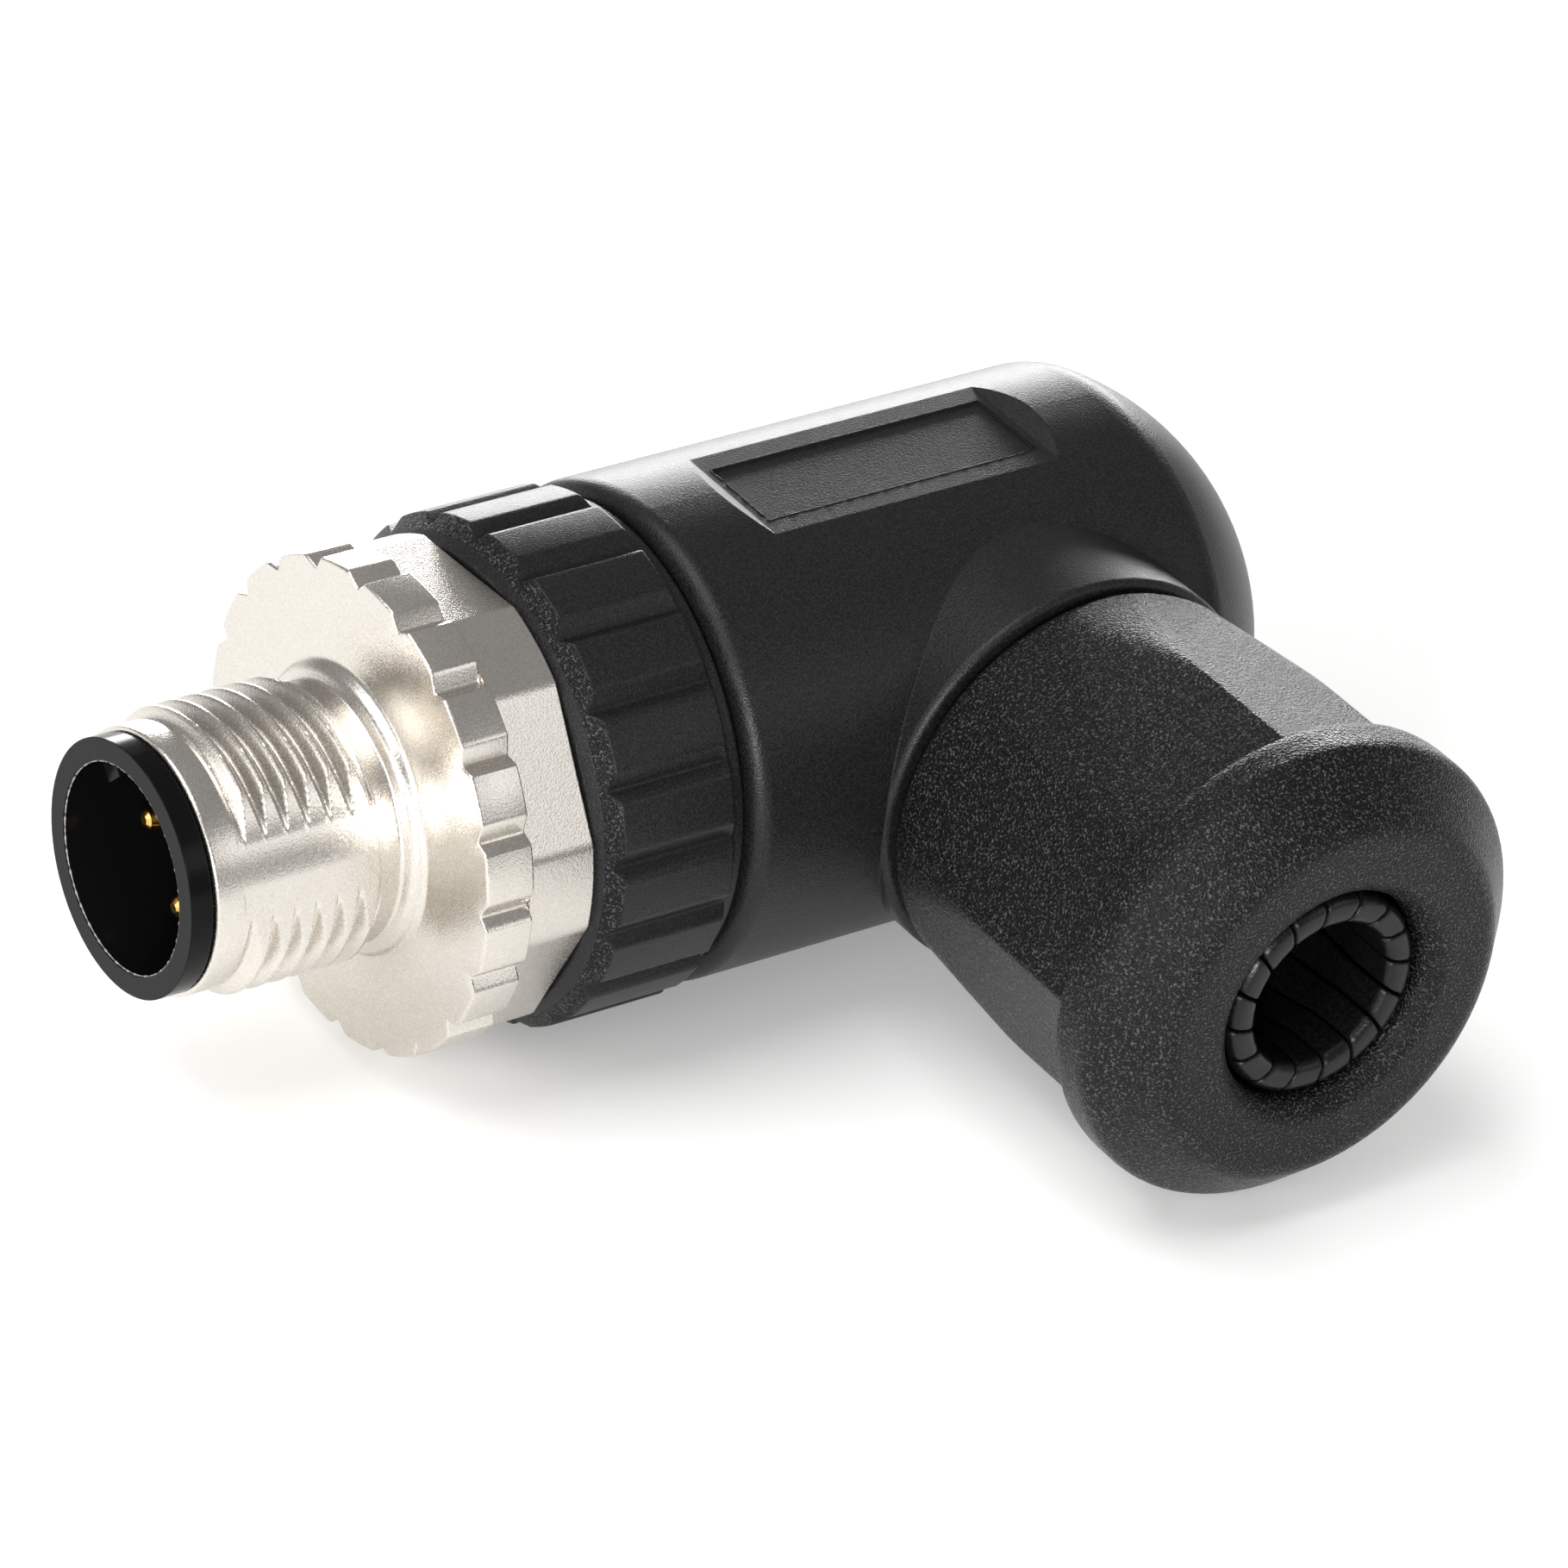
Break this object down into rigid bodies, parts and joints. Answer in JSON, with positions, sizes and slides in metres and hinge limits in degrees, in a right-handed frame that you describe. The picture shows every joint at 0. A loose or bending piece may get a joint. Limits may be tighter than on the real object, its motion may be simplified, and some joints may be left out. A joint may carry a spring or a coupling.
{
  "type": "m12 connector",
  "caption": "Right-angle M12 circular plug with pins, metal coupling screw, black plastic elbow housing and cable gland nut.",
  "frame": {"origin": "centre of the mating face, on the mating axis", "axes": "+X from the mating face into the body, -Y along the cable branch, +Z through the marker field"},
  "size_m": [0.0535, 0.0399, 0.0216],
  "materials": {
    "gloss_black": "gloss",
    "inner_black": "satin",
    "satin_black": "satin",
    "textured_black": "coarse spark texture",
    "satin_nickel": "satin",
    "gold_contact": "polished",
    "zinc_steel": "satin",
    "seal_rubber": "matte"
  },
  "bodies": {
    "housing_body": {"housing": "satin_black", "cable_seal": "seal_rubber", "slip_washer": "inner_black"},
    "insert_body": {"contact_insert": "gloss_black", "contact_pin_1": "gold_contact", "contact_pin_2": "gold_contact", "contact_pin_3": "gold_contact", "contact_pin_4": "gold_contact", "terminal_carrier": "inner_black", "terminal_screws": "zinc_steel", "friction_washer": "zinc_steel", "housing_seal": "seal_rubber"},
    "coupling_body": {"coupling_screw": "satin_nickel"},
    "union_body": {"union_ring": "textured_black"},
    "cage_body": {"clamp_cage": "gloss_black"},
    "nut_body": {"gland_nut": "textured_black"}
  },
  "joints": [
    {"name": "insert_slide", "type": "slide", "parent": "housing_body", "child": "insert_body", "axis": [-1, 0, 0], "range_m": [0, 0.0036]},
    {"name": "coupling_turn", "type": "hinge", "parent": "insert_body", "child": "coupling_body", "pos_m": [0.012, 0, 0], "axis": [1, 0, 0], "continuous": true},
    {"name": "union_turn", "type": "hinge", "parent": "insert_body", "child": "union_body", "pos_m": [0.0195, 0, 0], "axis": [-1, 0, 0], "range_deg": [0, 1080]},
    {"name": "cage_slide", "type": "slide", "parent": "housing_body", "child": "cage_body", "axis": [0, -1, 0], "range_m": [0, 0.0045]},
    {"name": "nut_turn", "type": "hinge", "parent": "cage_body", "child": "nut_body", "pos_m": [0.0389, -0.02, 0], "axis": [0, -1, 0], "range_deg": [0, 1080]}
  ],
  "couplings": [
    {"joint": "insert_slide", "follows": "union_turn", "m_per_rad": 0.00019098},
    {"joint": "cage_slide", "follows": "nut_turn", "m_per_rad": 0.00023873}
  ]
}
